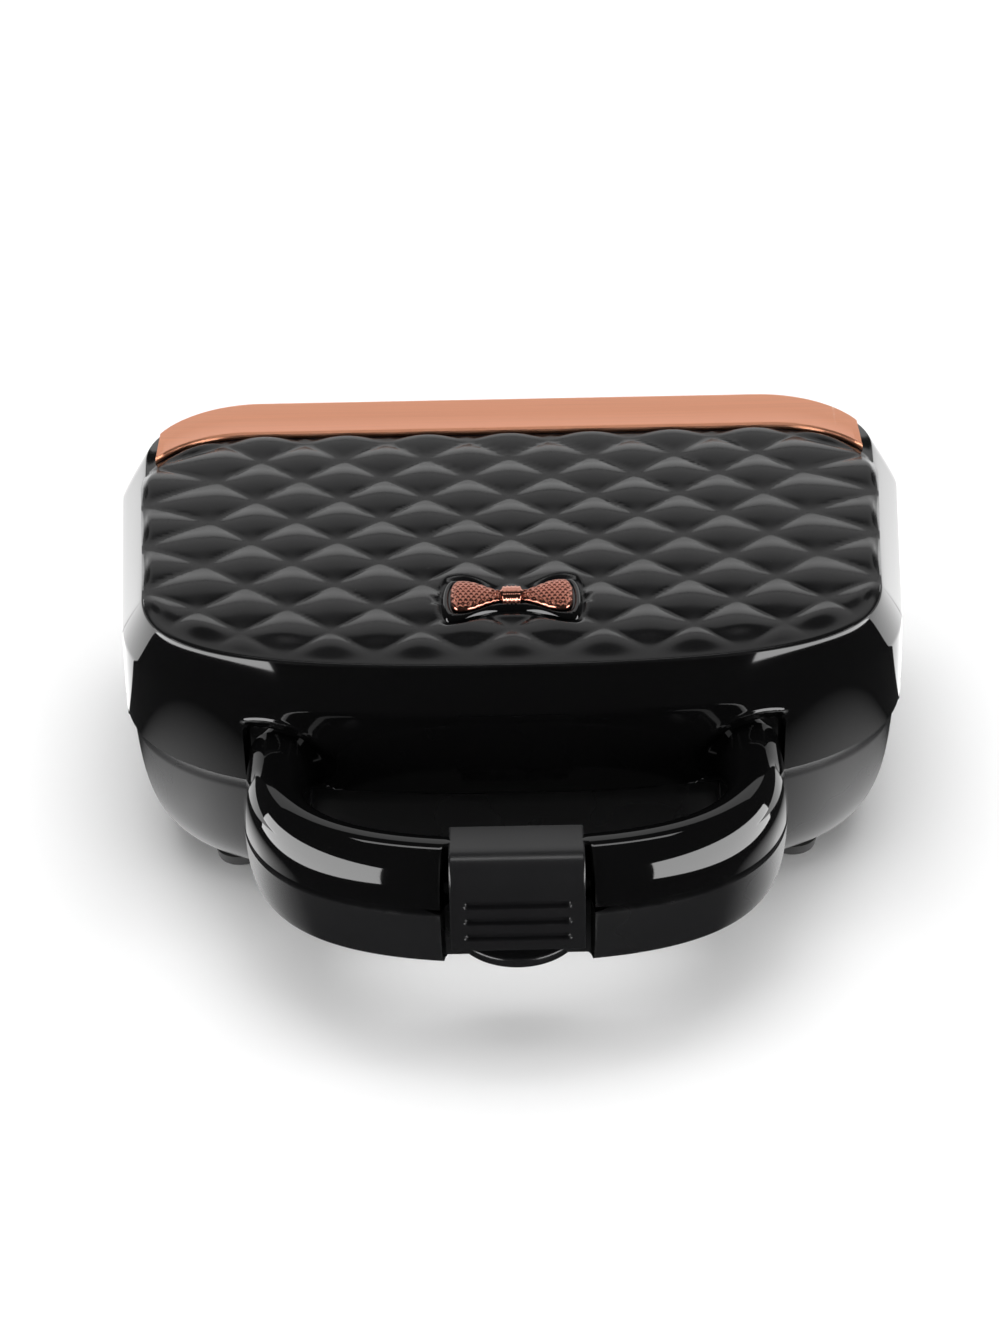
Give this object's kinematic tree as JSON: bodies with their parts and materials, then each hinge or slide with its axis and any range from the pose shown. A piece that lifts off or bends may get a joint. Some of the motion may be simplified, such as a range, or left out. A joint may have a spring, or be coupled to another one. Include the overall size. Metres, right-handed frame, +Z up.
{
  "type": "donut maker",
  "caption": "Clamshell electric donut maker with a hinged quilted lid, ring-mould plates, a split loop handle and a sprung front latch.",
  "frame": {"origin": "on the table, under the middle of the closed appliance's box", "axes": "+X to the right along the width, +Y to the rear hinge, -Y to the handle, +Z up out of the lid"},
  "size_m": [0.241, 0.2252, 0.0921],
  "materials": {
    "case_gloss": "deep gloss black moulded plastic",
    "case_satin": "satin black moulded plastic",
    "copper_band": "long-grain brushed, copper coloured",
    "copper_plating": "bright copper plating over a fine embossed grid",
    "non_stick_plate": "dark non-stick coating on cast aluminium",
    "reflector_sheet": "plain rolled sheet",
    "heater_tube": "heat-tinted sheath",
    "steel_parts": "zinc-plated",
    "ceramic_parts": "unglazed",
    "rubber_parts": "moulded"
  },
  "bodies": {
    "base": {"base_shell": "case_satin", "base_frame": "case_satin", "lower_plate": "non_stick_plate", "lower_heater": "heater_tube", "lower_reflector": "reflector_sheet", "base_frame_screw_1": "steel_parts", "base_frame_screw_2": "steel_parts", "base_frame_screw_3": "steel_parts", "base_frame_screw_4": "steel_parts", "terminal_block": "ceramic_parts", "inlet_bush": "rubber_parts", "latch_catch": "steel_parts", "hinge_pin_left": "steel_parts", "hinge_pin_right": "steel_parts", "foot_1": "rubber_parts", "foot_2": "rubber_parts", "foot_3": "rubber_parts", "foot_4": "rubber_parts"},
    "lid": {"lid_shell": "case_gloss", "trim_band": "copper_band", "bow_bezel": "case_gloss", "bow_emblem": "copper_plating", "lid_frame": "case_satin", "upper_plate": "non_stick_plate", "upper_heater": "heater_tube", "upper_reflector": "reflector_sheet", "lid_frame_screw_1": "steel_parts", "lid_frame_screw_2": "steel_parts", "lid_frame_screw_3": "steel_parts", "lid_frame_screw_4": "steel_parts", "thermostat": "ceramic_parts", "thermal_fuse": "ceramic_parts", "latch_pin": "steel_parts", "latch_spring": "steel_parts"},
    "latch_arm": {"latch": "case_satin"}
  },
  "joints": [
    {"name": "lid_hinge", "type": "hinge", "parent": "base", "child": "lid", "pos_m": [0, 0.1076, 0.051], "axis": [-1, 0, 0], "range_deg": [0, 105]},
    {"name": "latch_pivot", "type": "hinge", "parent": "lid", "child": "latch_arm", "pos_m": [0, -0.0996, 0.0566], "axis": [-1, 0, 0], "range_deg": [0, 35], "stiffness_Nm_per_rad": 0.03, "springref_deg": -11.46}
  ]
}
